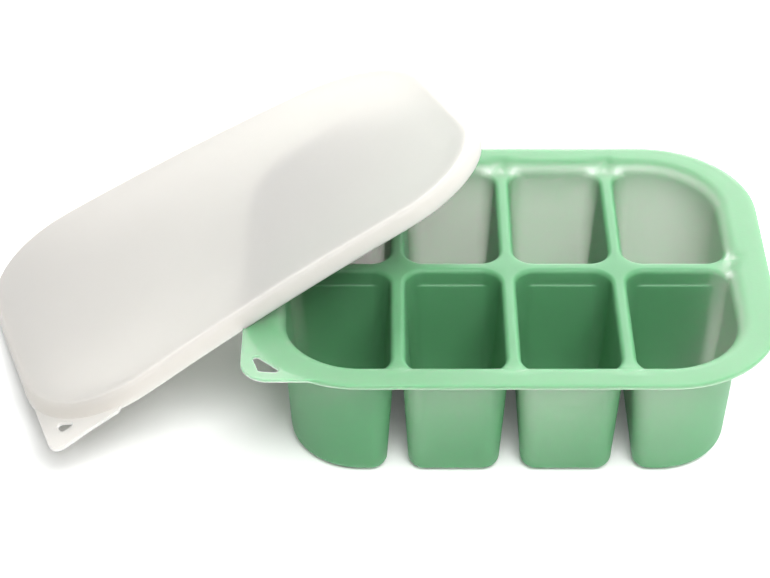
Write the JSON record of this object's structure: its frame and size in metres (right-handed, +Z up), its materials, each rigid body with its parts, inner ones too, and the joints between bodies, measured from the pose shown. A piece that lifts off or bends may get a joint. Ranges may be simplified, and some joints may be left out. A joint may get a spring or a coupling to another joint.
{
  "type": "food freezer tray",
  "caption": "Shallow rectangular food freezer tray with separate tapered cups under a broad rounded rim, and a loose translucent lid that leans on it.",
  "frame": {"origin": "on the surface that the cups stand on, under the middle of the tray", "axes": "+X along the rows of cups, +Y towards the back of the tray, +Z up"},
  "size_m": [0.2987, 0.1963, 0.0926],
  "materials": {
    "silicone_green": "satin mint green food-grade silicone",
    "silicone_clear": "translucent milky silicone"
  },
  "bodies": {
    "tray": {"tray": "silicone_green"},
    "lid": {"lid": "silicone_clear"}
  },
  "joints": [
    {"name": "lid_lift", "type": "slide", "parent": "tray", "child": "lid", "axis": [0, 0, 1], "range_m": [0, 0.12]}
  ]
}
